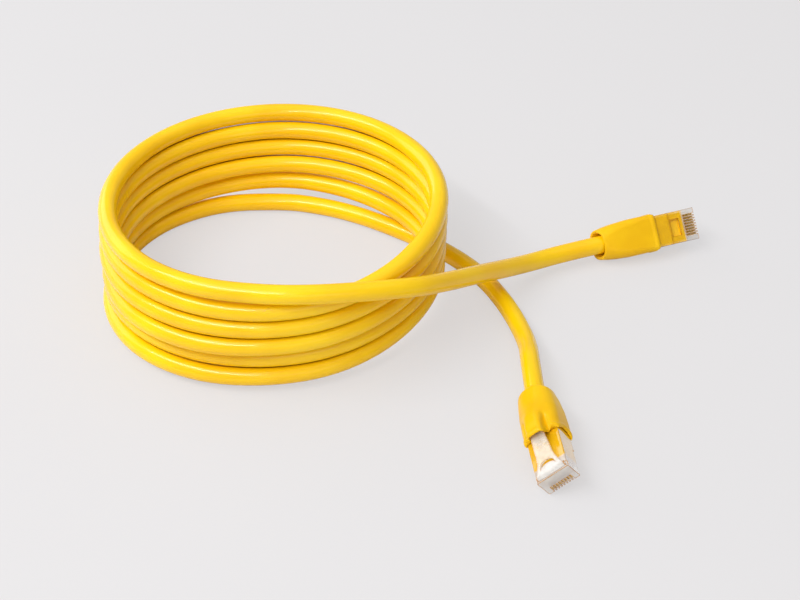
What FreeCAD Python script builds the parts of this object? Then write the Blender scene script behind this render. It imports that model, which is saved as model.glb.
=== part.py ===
import FreeCAD, Part
import math
import os

# An ethernet patch cable: a round yellow cord wound into six stacked turns, with both ends free.
# Each end has a moulded boot and a clear eight-contact modular plug whose latch bends at its root.
# The row's frame stands on the floor (z = 0), +Z up, and the two free ends reach out to +X.

Vec = FreeCAD.Vector

# The cord
CORD_DIAMETER = 6.5
JACKET_WALL = 0.6
FLAT_DEPTH = CORD_DIAMETER / 10       # how far the lowest turn and its tail are pressed flat on the floor
COIL_AXIS = Vec(-45.75, 24.8, 0.0)     # where the coil's axis meets the floor
TURN_PITCH = 7.0                      # height from one turn to the next
SECTION_SIDES = 6                     # flats round the cord's solid
CORNER_FLATS = 4                      # flats that make up each rounded corner of the boot
OVERRUN = 1.0                         # how far a cutting shape runs past the face that it opens

# How far each turn's middle line stands from the axis, at its front, left, back and right
TURN_REACH = [
    (58.4, 56.9, 57.2, 57.0),
    (58.1, 56.1, 54.7, 56.9),
    (58.4, 55.8, 53.2, 56.7),
    (59.1, 56.0, 50.4, 56.6),
    (56.0, 56.6, 50.8, 56.4),
    (58.3, 58.2, 45.0),
]
# How much of a pitch each quarter stands above the turn's own level, in the same order
QUARTER_RISE = (0.25, 0.05, 0.0, 0.08)
FIRST_RISE = 0.45                     # the first front point, where the upper tail rides off the turn below

# The plug, measured from its nose face, with the cord's middle line at zero height
PLUG_WIDTH = 11.68
PLUG_LENGTH = 21.5
NOSE_HEIGHT = 6.6
COLLAR_RAISE = 0.55                   # the rear half stands this much lower on the contact side
COLLAR_START = 10.4
COLLAR_SINK = 1.0                     # how far the collar's block reaches into the body
CONTACT_COUNT = 8
CONTACT_PITCH = 1.02
CONTACT_THICKNESS = 0.35
SLOT_WIDTH = 0.55
SLOT_LENGTH = 4.4
SLOT_DEPTH = 2.5
BLADE_SINK = 0.35                     # the blades' edges lie this far inside the slots
BLADE_GAP = 0.3                       # between a blade and each end of its slot
BLADE_CHAMFER = 0.45
SIDE_WALL = 0.75
TOP_WALL = 0.9
CONTACT_WALL = 0.6
FRONT_WALL = 1.0
FIT = 0.05                            # clearance round what sits inside another piece
EDGE_ROUND = 0.35

# The latch
KNUCKLE_RADIUS = 0.8
KNUCKLE_BACK = 1.3                    # from the nose face to the knuckle's axis
KNUCKLE_RISE = 0.35                   # from the housing's top to the knuckle's axis
KNUCKLE_CLEAR = 0.08
LATCH_THICKNESS = 0.9
LATCH_LENGTH = 17.6
LATCH_ANGLE = 10.0                    # the latch's rise at rest, in degrees
LATCH_ROOT_WIDTH = 10.4
LATCH_SHOULDER_WIDTH = 6.7
LATCH_WAIST_WIDTH = 5.9
LATCH_TAIL_WIDTH = 4.9
LATCH_FLARE_END = 7.0                 # from the nose face to where the root's flare ends
LATCH_SHOULDER_AT = 7.6
LATCH_WAIST_END = 14.0
CRESCENT_FROM = 2.0                   # the latch's curved slot, from the nose face
CRESCENT_TO = 6.0
CRESCENT_WIDTH = 5.0
CRESCENT_OUTER = 3.4                  # radius and centre of the slot's front arc
CRESCENT_OUTER_AT = 6.2
CRESCENT_INNER = 3.9                  # radius and centre of the slot's rear arc
CRESCENT_INNER_AT = 7.4

# The boot
BOOT_FRONT = 15.6                     # from the nose face to the boot's front rim
BOOT_LENGTH = 21.4
BOOT_SLANT = 2.0                      # how far the rear rim runs on at the latch side
BOOT_SECTIONS = [                     # share of the length, width, reach on the latch side and on the far side,
    (0.0, 13.8, 5.9, 5.05, 4.6, 1.6),     # then the corner radii of those two sides
    (0.25, 13.9, 6.0, 5.05, 4.7, 1.9),
    (0.5, 13.6, 5.9, 5.0, 4.8, 2.5),
    (0.75, 12.8, 5.4, 4.9, 4.9, 3.3),
    (0.92, 12.0, 5.0, 4.75, 4.8, 4.0),
    (1.0, 11.0, 4.6, 4.5, 4.5, 4.2),
]
MOUTH_WALL = 0.75                     # the rim's thickness round the flared rear mouth
MOUTH_DEPTH = 7.0
HOOD_WIDTH = 7.6
HOOD_WALL = 0.9
HOOD_LENGTH = 17.0
HOOD_FOOT_RADIUS = 0.3
HOOD_SECTIONS = [                     # share of the length, of the front's width and height, corner radius
    (0.0, 1.0, 1.0, 3.3),
    (0.35, 1.04, 0.97, 3.4),
    (0.7, 1.18, 0.8, 3.3),
    (1.0, 1.2, 0.5, 2.2),
]
TUNNEL_BACK = 0.5                     # room behind the latch's tail
TUNNEL_HEAD = 0.5                     # room above the latch's tail at rest
TUNNEL_RADIUS = 1.0

# The inner moulding
MOULD_FRONT = 4.9                     # from the nose face to the moulding's front face
MOULD_RING = 8.0
MOULD_RING_LENGTH = 5.5
JACKET_GAP = 0.8                      # between the housing's rear and the jacket's cut end
JACKET_STOP = PLUG_LENGTH + JACKET_GAP
MOULD_NECK = JACKET_GAP * 0.75        # how far the moulding's block stands out behind the housing
FAN_MOUTH = 4.7                       # side of the square where the wires leave the jacket
FAN_STRAIGHT = 3.0                    # the wires run level for this far behind the moulding's front
WINDOW_START = 6.3
WINDOW_LENGTH = 3.4
WINDOW_WIDTH = 6.2
WINDOW_DEPTH = 0.5

# Inside the cord's ends
WIRE_DIAMETER = 0.84
WIRE_RING = 1.76                      # from the cord's middle line to each wire
WIRE_SIDES = 6
WIRE_SPREAD = 18.0                    # half the angle between a pair's two wires
WIRE_RUN_OUT = 0.5                    # the wires stay beside the separator for this far past the jacket
WIRE_STOP = 1.3                       # from the nose face to the wires' ends
SEPARATOR_WALL = 0.45
WIRE_LEVEL = -0.35                    # the wires' height in the nose
BAR_HEIGHT = 1.7
BAR_WIDTH = 9.3
BAR_LENGTH = 3.5

# Where each plug lies: nose face's middle, heading, pitch and roll in degrees
PLUG_PLACES = {
    "upper": (Vec(105.35, 48.6, 8.5), 17.0, 3.0, 230.0),
    "lower": (Vec(45.75, -84.8, 6.7), -82.7, -3.5, 40.0),
}

CORNER_ANGLE = math.pi / SECTION_SIDES
# the cord's solid has the round cord's own cross-section area
CORD_CORNER = CORD_DIAMETER / 2 * math.sqrt(CORNER_ANGLE / (math.sin(CORNER_ANGLE) * math.cos(CORNER_ANGLE)))
REST_LEVEL = CORD_CORNER * math.cos(CORNER_ANGLE)      # middle line of a cord that lies on the floor
FLOOR_LEVEL = REST_LEVEL - FLAT_DEPTH
# a bore with flats, whose flats just clear the round jacket
JACKET_BORE = (CORD_DIAMETER + 2 * FIT) / math.cos(math.pi / (4 * CORNER_FLATS))
BOOT_REAR = BOOT_FRONT + BOOT_LENGTH
HALF_WIDTH = PLUG_WIDTH / 2
HALF_HEIGHT = NOSE_HEIGHT / 2
KNUCKLE_Z = HALF_HEIGHT + KNUCKLE_RISE
NEAR = 0.01                           # two places closer than this are the same


def save(shape, name):
    shape.exportStep("parts/" + name + ".step")
    print(name, "solids", len(shape.Solids), "volume", round(shape.Volume, 2), "valid", shape.isValid())


def axes(heading, pitch, roll):
    # the plug's forward, sideways and latch-side directions
    h, p, r = (math.radians(a) for a in (heading, pitch, roll))
    forward = Vec(math.cos(p) * math.cos(h), math.cos(p) * math.sin(h), math.sin(p))
    level = Vec(0, 0, 1).cross(forward).normalize()
    upright = forward.cross(level)
    side = level * math.cos(r) + upright * math.sin(r)
    return forward, side, forward.cross(side)


def placement(end):
    nose, heading, pitch, roll = PLUG_PLACES[end]
    f, s, u = axes(heading, pitch, roll)
    m = FreeCAD.Matrix(f.x, s.x, u.x, nose.x, f.y, s.y, u.y, nose.y, f.z, s.z, u.z, nose.z, 0, 0, 0, 1)
    return FreeCAD.Placement(m)


def at_plug(end, back):
    # a point on the plug's middle line, that far behind its nose
    nose, heading, pitch, roll = PLUG_PLACES[end]
    return nose - axes(heading, pitch, roll)[0] * back


def box(x0, x1, width, z0, z1):
    # a box about the middle plane; x counts back from the nose
    return Part.makeBox(x1 - x0, width, z1 - z0, Vec(-x1, -width / 2, z0))


def rod(x0, x1, diameter, z=0.0):
    return Part.makeCylinder(diameter / 2, x1 - x0, Vec(-x1, 0, z), Vec(1, 0, 0))


def soft_oblong(x, width, height, latch_radius, far_radius, z=0.0):
    # the corners of a rectangle across the plug, each rounded by short flats
    points = []
    for quarter, radius in enumerate((latch_radius, latch_radius, far_radius, far_radius)):
        cy = (width / 2 - radius) * (1 if quarter in (0, 3) else -1)
        cz = z + (height / 2 - radius) * (1 if quarter < 2 else -1)
        for k in range(CORNER_FLATS + 1):
            a = math.pi / 2 * (quarter + k / CORNER_FLATS)
            points.append(Vec(-x, cy + radius * math.cos(a), cz + radius * math.sin(a)))
    return points


def flat_sided(sections):
    # a solid through outlines of as many corners each, with flat three-cornered sides
    faces = []
    for near, far in zip(sections, sections[1:]):
        for i in range(len(near)):
            k = (i + 1) % len(near)
            for corners in ((near[i], near[k], far[k]), (near[i], far[k], far[i])):
                if (corners[0] - corners[1]).Length > NEAR and (corners[1] - corners[2]).Length > NEAR:
                    faces.append(Part.Face(Part.makePolygon(list(corners) + [corners[0]])))
    for ends in (sections[0], sections[-1]):
        faces.append(Part.Face(Part.makePolygon(ends + [ends[0]])))
    return Part.Solid(Part.makeShell(faces))


def flat_rod(x0, x1, diameter):
    # a rod along the plug with flats round it, its corners on that diameter
    return flat_sided([soft_oblong(x, diameter, diameter, diameter / 2, diameter / 2) for x in (x0, x1)])


def oblong(x, width, height, z):
    # the corners of a plain rectangle across the plug
    a, b = width / 2, height / 2
    return [Vec(-x, cy, cz) for cy, cz in ((-a, z - b), (a, z - b), (a, z + b), (-a, z + b))]


# Paths: straight runs joined by tangent arcs, and biarcs for the wound turns

def tangent_path(points, name):
    edges = []
    here = points[0]
    radii = []
    for i in range(1, len(points) - 1):
        back, on = points[i - 1] - points[i], points[i + 1] - points[i]
        reach = 0.45 * min(back.Length, on.Length)
        turn = math.pi - back.getAngle(on)
        radius = reach / math.tan(turn / 2)
        radii.append(round(radius, 1))
        a = points[i] + back.normalize() * reach
        c = points[i] + on.normalize() * reach
        inward = (back + on).normalize()
        centre = points[i] + inward * (radius / math.cos(turn / 2))
        b = centre - inward * radius
        edges.append(Part.LineSegment(here, a).toShape())
        edges.append(Part.Arc(a, b, c).toShape())
        here = c
    edges.append(Part.LineSegment(here, points[-1]).toShape())
    path = Part.Wire(edges)
    if name:
        print(name, "radii", radii, "length", round(path.Length, 1))
    return path


def arc_between(a, corner, b):
    # the arc from a to b whose end tangents meet at the corner
    middle = (a + b) * 0.5
    half = (b - a).Length / 2
    slope = math.acos(min(1.0, half / (corner - a).Length))
    share = math.tan(slope / 2) / math.tan(slope)
    return Part.Arc(a, middle + (corner - middle) * share, b).toShape()


def biarc(p0, t0, p1, t1):
    v, t = p1 - p0, t0 + t1
    same = 2 * (1 - t0.dot(t1))
    reach = (-v.dot(t) + math.sqrt(v.dot(t) ** 2 + same * v.dot(v))) / same
    c0, c1 = p0 + t0 * reach, p1 - t1 * reach
    joint = (c0 + c1) * 0.5
    return [arc_between(p0, c0, joint), arc_between(joint, c1, p1)]


def sweep(path, section):
    tube = path.makePipeShell([section], True, False)
    return tube if tube.ShapeType == "Solid" else Part.Solid(tube)


def flat_section(centre, direction, radius, sides):
    # a regular polygon with its corners on the given radius, a flat side down
    level = Vec(0, 0, 1).cross(direction).normalize()
    upright = direction.cross(level)
    points = []
    for i in range(sides + 1):
        a = 2 * math.pi * (i + 0.5) / sides
        points.append(centre + level * (radius * math.sin(a)) - upright * (radius * math.cos(a)))
    return Part.makePolygon(points)


def above_floor(shape):
    room = 400.0
    return shape.common(Part.makeBox(room, room, room, Vec(-room / 2, -room / 2, 0)))


# The wound turns

def coil_points():
    directions = (Vec(0, -1, 0), Vec(-1, 0, 0), Vec(0, 1, 0), Vec(1, 0, 0))
    levels = len(TURN_REACH) - 1
    points = []
    for turn, reaches in enumerate(TURN_REACH):
        for quarter, reach in enumerate(reaches):
            rise = FIRST_RISE if turn == 0 and quarter == 0 else QUARTER_RISE[quarter]
            height = FLOOR_LEVEL + TURN_PITCH * (levels - turn + rise)
            points.append(COIL_AXIS + directions[quarter] * reach + Vec(0, 0, height))
    return points


def coil_path():
    points = coil_points()
    along = (Vec(-1, 0, 0), Vec(0, 1, 0), Vec(1, 0, 0), Vec(0, -1, 0))
    tangents = []
    for i, p in enumerate(points):
        flat = along[i % 4]
        slope = 0.0
        if 0 < i < len(points) - 1:
            before, after = points[i - 1], points[i + 1]
            slope = (after.z - before.z) / (math.pi / 2 * ((p - before).Length + (after - p).Length) / math.sqrt(2))
        tangents.append((flat + Vec(0, 0, slope)).normalize())
    start = points[0] - tangents[0] * CORD_DIAMETER
    stop = points[-1] + tangents[-1] * CORD_DIAMETER
    edges = [Part.LineSegment(start, points[0]).toShape()]
    for i in range(len(points) - 1):
        edges += biarc(points[i], tangents[i], points[i + 1], tangents[i + 1])
    edges.append(Part.LineSegment(points[-1], stop).toShape())
    return Part.Wire(edges), start, stop, edges


def least_gap(edges):
    # the nearest that two stretches over half a turn apart come, less the cord's thickness
    samples = []
    travelled = 0.0
    for e in edges:
        for k in range(12):
            where = e.FirstParameter + (e.LastParameter - e.FirstParameter) * k / 12
            samples.append((travelled + e.Length * k / 12, e.valueAt(where)))
        travelled += e.Length
    half_turn = math.pi * min(min(r) for r in TURN_REACH)
    least = 1e9
    for i, (s, p) in enumerate(samples):
        for s2, q in samples[i + 1:]:
            if s2 - s > half_turn:
                least = min(least, (p - q).Length)
    return least - CORD_DIAMETER


def make_coil():
    path, start, stop, edges = coil_path()
    section = flat_section(start, Vec(-1, 0, 0), CORD_CORNER, SECTION_SIDES)
    tube = sweep(path, section)
    expected = Part.Face(section).Area * path.Length
    print("coil length", round(path.Length, 1), "volume share", round(tube.Volume / expected, 4),
          "least gap", round(least_gap(edges), 2))
    return above_floor(tube), start, stop


# The free tails, from the coil to each boot

def tail_points(end, coil_end):
    rear = at_plug(end, BOOT_REAR)
    if end == "upper":
        way = [
            coil_end,
            coil_end + Vec(19.0, 0, 0),
            Vec(1.25, -24.9, 35.5),
            Vec(13.25, -11.3, 27.2),
            Vec(24.75, 3.1, 19.6),
            Vec(35.75, 16.4, 12.0),
            Vec(45.25, 26.6, 7.2),
            at_plug(end, BOOT_REAR + 14.0),
        ]
    else:
        way = [
            coil_end,
            coil_end + Vec(15.5, 0, 0),
            Vec(-8.75, 63.6, REST_LEVEL),
            Vec(10.25, 45.1, REST_LEVEL),
            Vec(25.25, 26.6, REST_LEVEL),
            Vec(33.75, 7.1, REST_LEVEL),
            Vec(38.75, -13.9, REST_LEVEL),
            at_plug(end, BOOT_REAR + 15.5),
        ]
    return way + [rear]


def make_tail(end, coil_end):
    points = tail_points(end, coil_end)
    path = tangent_path(points, "tail_" + end)
    first = (points[1] - points[0]).normalize()
    section = flat_section(points[0], first, CORD_CORNER, SECTION_SIDES)
    tube = sweep(path, section)
    expected = Part.Face(section).Area * path.Length
    print("tail", end, "volume share", round(tube.Volume / expected, 4))
    return above_floor(tube)


# The plug's pieces, each in the plug's own frame

def contact_places():
    middle = (CONTACT_COUNT - 1) / 2
    return [(i - middle) * CONTACT_PITCH for i in range(CONTACT_COUNT)]


def knuckle(radius, width):
    return Part.makeCylinder(radius, width, Vec(-KNUCKLE_BACK, -width / 2, KNUCKLE_Z), Vec(0, 1, 0))


def make_housing():
    nose = box(0, PLUG_LENGTH, PLUG_WIDTH, -HALF_HEIGHT, HALF_HEIGHT)
    collar = box(COLLAR_START, PLUG_LENGTH, PLUG_WIDTH, -HALF_HEIGHT - COLLAR_RAISE, COLLAR_SINK - HALF_HEIGHT)
    body = nose.fuse(collar).removeSplitter()
    long_edges = []
    for e in body.Edges:
        m = e.BoundBox
        if m.XLength > PLUG_LENGTH / 4 and m.YLength < NEAR and abs(abs(m.YMin) - HALF_WIDTH) < NEAR:
            long_edges.append(e)
    body = body.makeFillet(EDGE_ROUND, long_edges)
    cavity = box(MOULD_FRONT, PLUG_LENGTH + OVERRUN, PLUG_WIDTH - 2 * SIDE_WALL,
                 -HALF_HEIGHT + CONTACT_WALL, HALF_HEIGHT - TOP_WALL)
    bar_room = box(FRONT_WALL, MOULD_FRONT + OVERRUN, BAR_WIDTH + 2 * FIT,
                   WIRE_LEVEL - BAR_HEIGHT / 2 - FIT, WIRE_LEVEL + BAR_HEIGHT / 2 + FIT)
    body = body.cut(cavity).cut(bar_room)
    slots = []
    for y in contact_places():
        slot = box(-OVERRUN, SLOT_LENGTH, SLOT_WIDTH, -HALF_HEIGHT - OVERRUN, SLOT_DEPTH - HALF_HEIGHT)
        slots.append(slot.translate(Vec(0, y, 0)))
    body = body.cut(slots[0].multiFuse(slots[1:]))
    window = box(WINDOW_START, WINDOW_START + WINDOW_LENGTH, WINDOW_WIDTH,
                 -HALF_HEIGHT - OVERRUN, CONTACT_WALL + FIT - HALF_HEIGHT)
    body = body.cut(window)
    return body.cut(knuckle(KNUCKLE_RADIUS + KNUCKLE_CLEAR, PLUG_WIDTH + 2 * OVERRUN))


def make_contacts():
    bottom = -HALF_HEIGHT + BLADE_SINK
    top = WIRE_LEVEL - WIRE_DIAMETER / 2 - FIT
    blades = []
    for y in contact_places():
        plate = box(BLADE_GAP, SLOT_LENGTH - BLADE_GAP, CONTACT_THICKNESS, bottom, top)
        heel = [e for e in plate.Edges if e.BoundBox.YLength > NEAR and abs(e.BoundBox.ZMax - bottom) < NEAR]
        plate = plate.makeChamfer(BLADE_CHAMFER, heel)
        blades.append(plate.translate(Vec(0, y, 0)))
    return Part.makeCompound(blades)


def wire_points(index):
    # each wire runs beside the separator, then fans out to its own place in the nose
    angle = wire_angle(index)
    y0, z0 = WIRE_RING * math.cos(angle), WIRE_RING * math.sin(angle)
    order = sorted(range(CONTACT_COUNT), key=fan_key)
    y1 = contact_places()[order.index(index)]
    x1, x2 = JACKET_STOP - WIRE_RUN_OUT, MOULD_FRONT + FAN_STRAIGHT * 2 / 3
    return [Vec(-BOOT_REAR, y0, z0), Vec(-x1, y0, z0), Vec(-x2, y1, WIRE_LEVEL), Vec(-WIRE_STOP, y1, WIRE_LEVEL)]


def wire_angle(index):
    # where a wire stands round the separator: its pair's quarter, then one side or the other of it
    pair, mate = divmod(index, 2)
    return math.radians(45 + 90 * pair + (WIRE_SPREAD if mate else -WIRE_SPREAD))


def fan_key(index):
    # the wires' order across the nose, by how far out each stands in the cord
    return math.cos(wire_angle(index)), index // 2


def make_pair(pair):
    wires = []
    for mate in (0, 1):
        points = wire_points(2 * pair + mate)
        path = tangent_path(points, "")
        wires.append(sweep(path, flat_section(points[0], Vec(1, 0, 0), WIRE_DIAMETER / 2, WIRE_SIDES)))
    return Part.makeCompound(wires)


def make_load_bar():
    bar = box(FRONT_WALL + FIT, FRONT_WALL + FIT + BAR_LENGTH, BAR_WIDTH,
              WIRE_LEVEL - BAR_HEIGHT / 2, WIRE_LEVEL + BAR_HEIGHT / 2)
    for y in contact_places():
        groove = box(0, MOULD_FRONT + OVERRUN, WIRE_DIAMETER + 2 * FIT,
                     -HALF_HEIGHT, WIRE_LEVEL + WIRE_DIAMETER / 2 + FIT)
        bar = bar.cut(groove.translate(Vec(0, y, 0)))
    return bar


def make_separator():
    length = BOOT_REAR - JACKET_STOP
    inner = CORD_DIAMETER - 2 * JACKET_WALL - 2 * FIT
    arms = []
    for turn in (0, 90):
        arm = Part.makeBox(length, inner, SEPARATOR_WALL, Vec(-BOOT_REAR, -inner / 2, -SEPARATOR_WALL / 2))
        arms.append(arm.rotate(Vec(0, 0, 0), Vec(1, 0, 0), turn))
    cross = arms[0].fuse(arms[1])
    return cross.common(rod(JACKET_STOP, BOOT_REAR, inner))


def make_jacket_end():
    inner = CORD_DIAMETER - 2 * JACKET_WALL
    return rod(JACKET_STOP, BOOT_REAR, CORD_DIAMETER).cut(rod(JACKET_STOP - OVERRUN, BOOT_REAR + OVERRUN, inner))


def make_mould():
    top, bottom = HALF_HEIGHT - TOP_WALL - FIT, -HALF_HEIGHT + CONTACT_WALL + FIT
    width = PLUG_WIDTH - 2 * SIDE_WALL - 2 * FIT
    block = box(MOULD_FRONT + FIT, PLUG_LENGTH + MOULD_NECK, width, bottom, top)
    ring = flat_rod(PLUG_LENGTH + FIT, PLUG_LENGTH + MOULD_RING_LENGTH, MOULD_RING)
    block = block.fuse(ring)
    bore = flat_rod(JACKET_STOP, PLUG_LENGTH + MOULD_RING_LENGTH + OVERRUN, JACKET_BORE)
    fan = flat_sided([
        oblong(MOULD_FRONT - OVERRUN, BAR_WIDTH, BAR_HEIGHT, WIRE_LEVEL),
        oblong(MOULD_FRONT + FAN_STRAIGHT, BAR_WIDTH, BAR_HEIGHT, WIRE_LEVEL),
        oblong(JACKET_STOP + FIT, FAN_MOUTH, FAN_MOUTH, 0.0),
    ])
    dimple = box(WINDOW_START, WINDOW_START + WINDOW_LENGTH, WINDOW_WIDTH, bottom - OVERRUN, bottom + WINDOW_DEPTH)
    return block.cut(bore).cut(fan).cut(dimple)


def make_latch():
    # drawn level behind the knuckle, then turned up to its angle at rest
    root, shoulder = LATCH_ROOT_WIDTH / 2, LATCH_SHOULDER_WIDTH / 2
    waist, tail = LATCH_WAIST_WIDTH / 2, LATCH_TAIL_WIDTH / 2
    flare_middle = (KNUCKLE_BACK + LATCH_FLARE_END) / 2
    flare_width = shoulder + (root - shoulder) / 4
    end = LATCH_LENGTH + KNUCKLE_BACK
    z = KNUCKLE_Z + KNUCKLE_RADIUS - LATCH_THICKNESS
    edges = []
    for sign in (1, -1):
        root_corner = Vec(-KNUCKLE_BACK, sign * root, z)
        flare_stop = Vec(-LATCH_FLARE_END, sign * shoulder, z)
        step_out = Vec(-LATCH_SHOULDER_AT, sign * shoulder, z)
        step_in = Vec(-LATCH_SHOULDER_AT, sign * waist, z)
        waist_end = Vec(-LATCH_WAIST_END, sign * tail, z)
        edges.append(Part.Arc(root_corner, Vec(-flare_middle, sign * flare_width, z), flare_stop).toShape())
        edges.append(Part.LineSegment(flare_stop, step_out).toShape())
        edges.append(Part.LineSegment(step_out, step_in).toShape())
        edges.append(Part.LineSegment(step_in, waist_end).toShape())
        edges.append(Part.LineSegment(waist_end, Vec(-end, sign * tail, z)).toShape())
    edges.append(Part.LineSegment(Vec(-end, tail, z), Vec(-end, -tail, z)).toShape())
    edges.append(Part.LineSegment(Vec(-KNUCKLE_BACK, root, z), Vec(-KNUCKLE_BACK, -root, z)).toShape())
    outline = Part.Wire(Part.__sortEdges__(edges))
    arm = Part.Face(outline).extrude(Vec(0, 0, LATCH_THICKNESS))
    arm = arm.fuse(knuckle(KNUCKLE_RADIUS, LATCH_ROOT_WIDTH))
    low, tall = z - OVERRUN, LATCH_THICKNESS + 2 * OVERRUN
    outer = Part.makeCylinder(CRESCENT_OUTER, tall, Vec(-CRESCENT_OUTER_AT, 0, low))
    inner = Part.makeCylinder(CRESCENT_INNER, tall, Vec(-CRESCENT_INNER_AT, 0, low))
    crescent = outer.cut(inner).common(box(CRESCENT_FROM, CRESCENT_TO, CRESCENT_WIDTH, low, low + tall))
    arm = arm.cut(crescent).removeSplitter()
    return arm.rotate(Vec(-KNUCKLE_BACK, 0, KNUCKLE_Z), Vec(0, 1, 0), LATCH_ANGLE)


def latch_tail_top():
    # how high the latch's tail stands at rest
    a = math.radians(LATCH_ANGLE)
    return KNUCKLE_Z + LATCH_LENGTH * math.sin(a) + KNUCKLE_RADIUS * math.cos(a)


def make_boot():
    sections = []
    for share, width, latch_reach, far_reach, latch_radius, far_radius in BOOT_SECTIONS:
        back = BOOT_FRONT + share * (BOOT_LENGTH + BOOT_SLANT)
        middle = (latch_reach - far_reach) / 2
        sections.append(soft_oblong(back, width, latch_reach + far_reach, latch_radius, far_radius, middle))
    shell = flat_sided(sections)
    tunnel_top = latch_tail_top() + TUNNEL_HEAD
    hood_sections = []
    for share, width_share, height_share, radius in HOOD_SECTIONS:
        top = (tunnel_top + HOOD_WALL) * height_share
        hood_sections.append(soft_oblong(BOOT_FRONT + share * HOOD_LENGTH, HOOD_WIDTH * width_share, top,
                                         radius, HOOD_FOOT_RADIUS, top / 2))
    shell = shell.fuse(flat_sided(hood_sections))
    pocket = box(BOOT_FRONT - OVERRUN, PLUG_LENGTH + MOULD_NECK + FIT, PLUG_WIDTH + 2 * FIT,
                 -HALF_HEIGHT - COLLAR_RAISE - FIT, HALF_HEIGHT + FIT)
    ring_room = flat_rod(BOOT_FRONT, PLUG_LENGTH + MOULD_RING_LENGTH + FIT, MOULD_RING + 3 * FIT)
    bore = flat_rod(BOOT_FRONT, BOOT_REAR, JACKET_BORE)
    rear = BOOT_FRONT + BOOT_LENGTH + BOOT_SLANT
    rear_width, rear_reach, rear_far_reach = BOOT_SECTIONS[-1][1:4]
    mouth_width = rear_width - 2 * MOUTH_WALL
    mouth_height = rear_reach + rear_far_reach - 2 * MOUTH_WALL
    mouth_radius = mouth_height / 2 - NEAR
    mouth = flat_sided([
        soft_oblong(rear - MOUTH_DEPTH, JACKET_BORE, JACKET_BORE, JACKET_BORE / 2, JACKET_BORE / 2),
        soft_oblong(rear, mouth_width, mouth_height, mouth_radius, mouth_radius),
        soft_oblong(rear + OVERRUN, mouth_width, mouth_height, mouth_radius, mouth_radius),
    ])
    tunnel = flat_sided([
        soft_oblong(back, HOOD_WIDTH - 2 * HOOD_WALL, tunnel_top, TUNNEL_RADIUS, HOOD_FOOT_RADIUS, tunnel_top / 2)
        for back in (BOOT_FRONT - OVERRUN, KNUCKLE_BACK + LATCH_LENGTH + TUNNEL_BACK)
    ])
    tilt = math.degrees(math.atan2(BOOT_SLANT, rear_reach))
    knife_side = 3 * BOOT_LENGTH
    knife = Part.makeBox(knife_side, knife_side, knife_side, Vec(-knife_side, -knife_side / 2, -knife_side / 2))
    knife = knife.rotate(Vec(0, 0, 0), Vec(0, 1, 0), -tilt).translate(Vec(-BOOT_REAR, 0, 0))
    for tool in (pocket, ring_room, bore, mouth, tunnel, knife):
        shell = shell.cut(tool)
    return shell.removeSplitter()


PAIRS = ("blue", "orange", "green", "brown")


def main():
    os.makedirs("parts", exist_ok=True)
    coil, start, stop = make_coil()
    save(coil, "cable_coil")
    for end, coil_end in (("upper", start), ("lower", stop)):
        save(make_tail(end, coil_end), "cable_tail_" + end)
        pieces = {
            "strain_relief_boot": make_boot(),
            "inner_moulding": make_mould(),
            "plug_housing": make_housing(),
            "latch": make_latch(),
            "contact_blades": make_contacts(),
            "load_bar": make_load_bar(),
            "pair_separator": make_separator(),
            "jacket_end": make_jacket_end(),
        }
        for pair, colour in enumerate(PAIRS):
            pieces["wire_pair_" + colour] = make_pair(pair)
        where = placement(end)
        for name, shape in pieces.items():
            shape.Placement = where.multiply(shape.Placement)
            save(shape, name + "_" + end)


main()
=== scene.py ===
import math
from functools import partial

import bmesh
import bpy
from mathutils import Matrix, Vector


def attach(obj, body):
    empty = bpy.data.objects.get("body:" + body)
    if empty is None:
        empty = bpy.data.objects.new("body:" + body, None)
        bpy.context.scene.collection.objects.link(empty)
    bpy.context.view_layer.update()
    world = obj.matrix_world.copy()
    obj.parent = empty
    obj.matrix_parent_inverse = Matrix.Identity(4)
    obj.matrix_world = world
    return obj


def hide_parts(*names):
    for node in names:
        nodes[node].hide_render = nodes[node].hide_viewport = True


# An ethernet patch cable in yellow: a stacked coil, two free ends, and a booted clear plug on each.
# Lengths are in millimetres of the real cable, and MM turns them into metres.

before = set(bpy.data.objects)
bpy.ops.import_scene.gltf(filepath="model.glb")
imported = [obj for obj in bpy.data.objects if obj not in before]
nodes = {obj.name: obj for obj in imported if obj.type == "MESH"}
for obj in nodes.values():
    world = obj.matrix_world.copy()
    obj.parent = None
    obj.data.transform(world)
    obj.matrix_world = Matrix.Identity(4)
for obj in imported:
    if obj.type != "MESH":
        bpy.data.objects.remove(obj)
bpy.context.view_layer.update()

MM = 0.001
ENDS = ("upper", "lower")

# The cord
CORD_DIAMETER = 6.5
CORD_RADIUS = CORD_DIAMETER / 2
REST_LEVEL = CORD_RADIUS
COIL_AXIS = Vector((-45.75, 24.8, 0.0))
TURN_PITCH = 6.55                # touching turns, a little closer than the solid's
POINTS_PER_TURN = 16
SPAN_STEPS = 6                   # steps of the drawn curve from one control point to the next
CORD_ROUNDNESS = 8
TURN_REACH = [                   # middle line from the axis at front, left, back and right
    (58.4, 57.1, 57.2, 57.0),
    (58.1, 57.5, 54.5, 56.9),
    (58.4, 57.6, 53.2, 56.7),
    (59.1, 56.5, 50.6, 56.6),
    (56.9, 57.4, 50.8, 56.4),
    (58.3, 57.8, 45.4),
]
TURN_RISE = [                    # how far each of those places lies above its turn's level, in pitches
    (0.45, 0.05, 0.0, 0.08),
    (0.25, 0.05, 0.1, 0.08),
    (0.25, 0.05, 0.13, 0.08),
    (0.25, 0.05, 0.22, 0.08),
    (0.25, 0.05, 0.1, 0.08),
    (0.25, 0.05, 0.0),
]
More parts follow.
